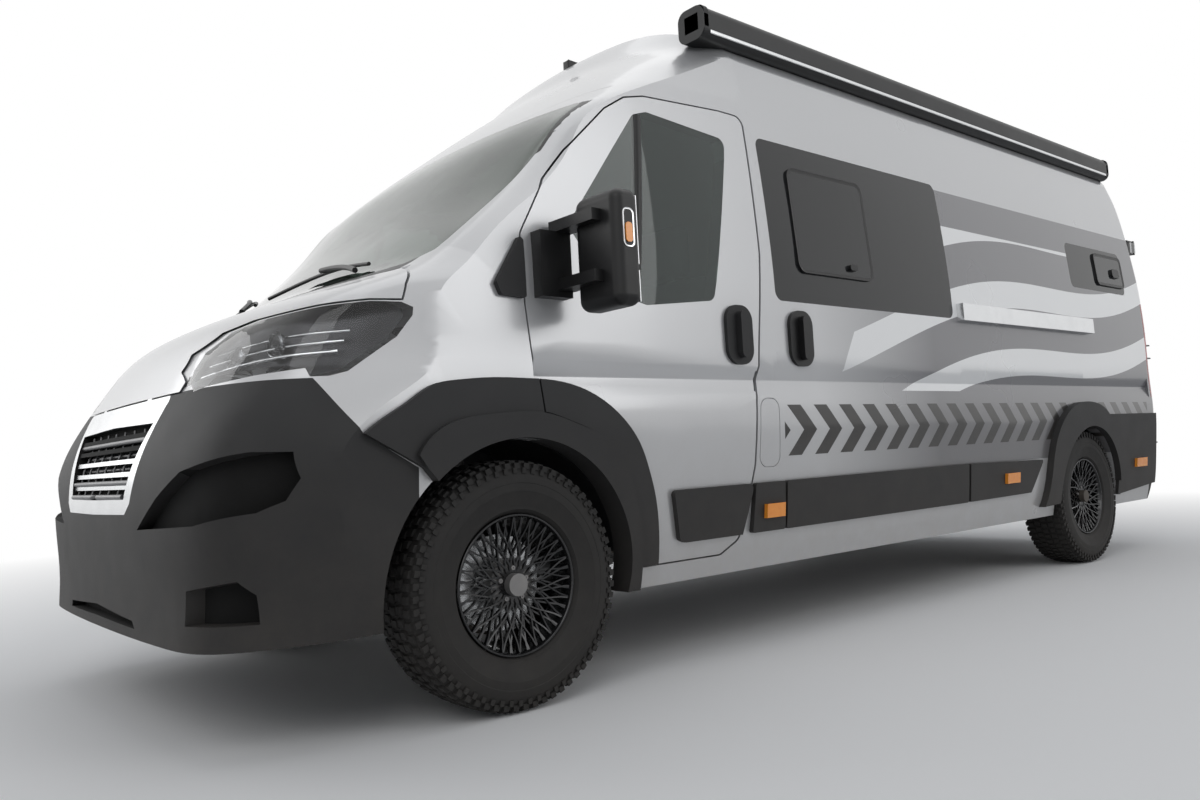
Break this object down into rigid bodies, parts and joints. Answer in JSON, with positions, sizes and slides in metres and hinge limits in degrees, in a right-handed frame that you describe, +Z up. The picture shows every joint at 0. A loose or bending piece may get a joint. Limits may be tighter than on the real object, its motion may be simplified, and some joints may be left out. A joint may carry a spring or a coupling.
{
  "type": "camper van",
  "caption": "High-roof camper van on a long panel-van body, with opening cab, bonnet and rear doors, a side awning case, steered front wheels and a furnished living space.",
  "frame": {"origin": "on the ground, below the middle of the van's length and width", "axes": "+X to the van's left side, +Y to its rear, +Z up; the van faces -Y"},
  "size_m": [2.64, 6.078, 2.6399],
  "materials": {
    "silver_paint": "metallic gloss",
    "dark_plastic": "grained",
    "black_plastic": "satin",
    "white_plastic": "satin",
    "dark_glass": "tinted",
    "lamp_lens": "gloss",
    "amber_lens": "gloss",
    "black_metal": "satin",
    "black_alloy": "gloss",
    "tyre": "matte",
    "seat_cloth": "woven",
    "light_wood": "satin",
    "chassis_steel": "matte",
    "cast_metal": "raw",
    "bare_steel": "dull"
  },
  "bodies": {
    "body": {"windscreen": "dark_glass", "grille": "dark_plastic", "front_bumper": "dark_plastic", "cowl_panel": "black_plastic", "front_wings": "silver_paint", "sliding_door": "silver_paint", "side_panel_left": "silver_paint", "side_panel_right": "silver_paint", "side_windows": "dark_glass", "roof_panel": "silver_paint", "arch_flares": "dark_plastic", "side_mouldings": "dark_plastic", "awning_case": "black_metal", "roof_fittings": "white_plastic", "lamps": "lamp_lens", "rear_bumper": "dark_plastic", "dashboard": "black_plastic", "cab_seats": "seat_cloth", "living_units": "light_wood", "floor_pan": "chassis_steel", "wheelhouses": "black_plastic", "chassis_frame": "chassis_steel", "door_hinges": "black_metal", "slide_rail": "black_metal", "sliding_door_handle": "black_plastic", "side_markers": "amber_lens", "engine_block": "cast_metal", "fuel_tank": "black_plastic", "exhaust": "bare_steel", "front_subframe": "chassis_steel", "rear_axle": "chassis_steel"},
    "bonnet": {"bonnet": "silver_paint"},
    "cab_door_left": {"cab_door_left": "silver_paint", "door_glass_left": "dark_glass", "door_trim_left": "dark_plastic", "mirror_left": "black_plastic"},
    "rear_door_left": {"rear_door_left": "silver_paint", "rear_glass_left": "dark_glass"},
    "knuckle_left": {"knuckle_left": "cast_metal"},
    "wheel_front_left": {"tyre_front_left": "tyre", "rim_front_left": "black_alloy"},
    "wheel_rear_left": {"tyre_rear_left": "tyre", "rim_rear_left": "black_alloy"},
    "cab_door_right": {"cab_door_right": "silver_paint", "door_glass_right": "dark_glass", "door_trim_right": "dark_plastic", "mirror_right": "black_plastic"},
    "rear_door_right": {"rear_door_right": "silver_paint", "rear_glass_right": "dark_glass"},
    "knuckle_right": {"knuckle_right": "cast_metal"},
    "wheel_front_right": {"tyre_front_right": "tyre", "rim_front_right": "black_alloy"},
    "wheel_rear_right": {"tyre_rear_right": "tyre", "rim_rear_right": "black_alloy"}
  },
  "joints": [
    {"name": "bonnet_hinge", "type": "hinge", "parent": "body", "child": "bonnet", "pos_m": [0, -2.325, 1.35], "axis": [-1, 0, 0], "range_deg": [0, 55]},
    {"name": "cab_door_left_hinge", "type": "hinge", "parent": "body", "child": "cab_door_left", "pos_m": [1.054, -1.969, 0.9], "axis": [0, 0, -1], "range_deg": [0, 70]},
    {"name": "cab_door_right_hinge", "type": "hinge", "parent": "body", "child": "cab_door_right", "pos_m": [-1.054, -1.969, 0.9], "axis": [0, 0, 1], "range_deg": [0, 70]},
    {"name": "rear_door_left_hinge", "type": "hinge", "parent": "body", "child": "rear_door_left", "pos_m": [0.964, 3.043, 1.4], "axis": [0, 0, -1], "range_deg": [0, 180]},
    {"name": "rear_door_right_hinge", "type": "hinge", "parent": "body", "child": "rear_door_right", "pos_m": [-0.964, 3.043, 1.4], "axis": [0, 0, 1], "range_deg": [0, 180]},
    {"name": "steer_left", "type": "hinge", "parent": "body", "child": "knuckle_left", "pos_m": [0.845, -2.077, 0.23], "axis": [-0.3182, 0, 0.948], "range_deg": [-35, 35]},
    {"name": "steer_right", "type": "hinge", "parent": "body", "child": "knuckle_right", "pos_m": [-0.845, -2.077, 0.23], "axis": [0.3182, 0, 0.948], "range_deg": [-35, 35]},
    {"name": "wheel_front_left_spin", "type": "hinge", "parent": "knuckle_left", "child": "wheel_front_left", "pos_m": [0.905, -2.077, 0.38], "axis": [1, 0, 0], "continuous": true},
    {"name": "wheel_rear_left_spin", "type": "hinge", "parent": "body", "child": "wheel_rear_left", "pos_m": [0.895, 1.958, 0.38], "axis": [1, 0, 0], "continuous": true},
    {"name": "wheel_front_right_spin", "type": "hinge", "parent": "knuckle_right", "child": "wheel_front_right", "pos_m": [-0.905, -2.077, 0.38], "axis": [1, 0, 0], "continuous": true},
    {"name": "wheel_rear_right_spin", "type": "hinge", "parent": "body", "child": "wheel_rear_right", "pos_m": [-0.895, 1.958, 0.38], "axis": [1, 0, 0], "continuous": true}
  ],
  "couplings": [
    {"joint": "steer_right", "follows": "steer_left", "ratio": 1}
  ]
}
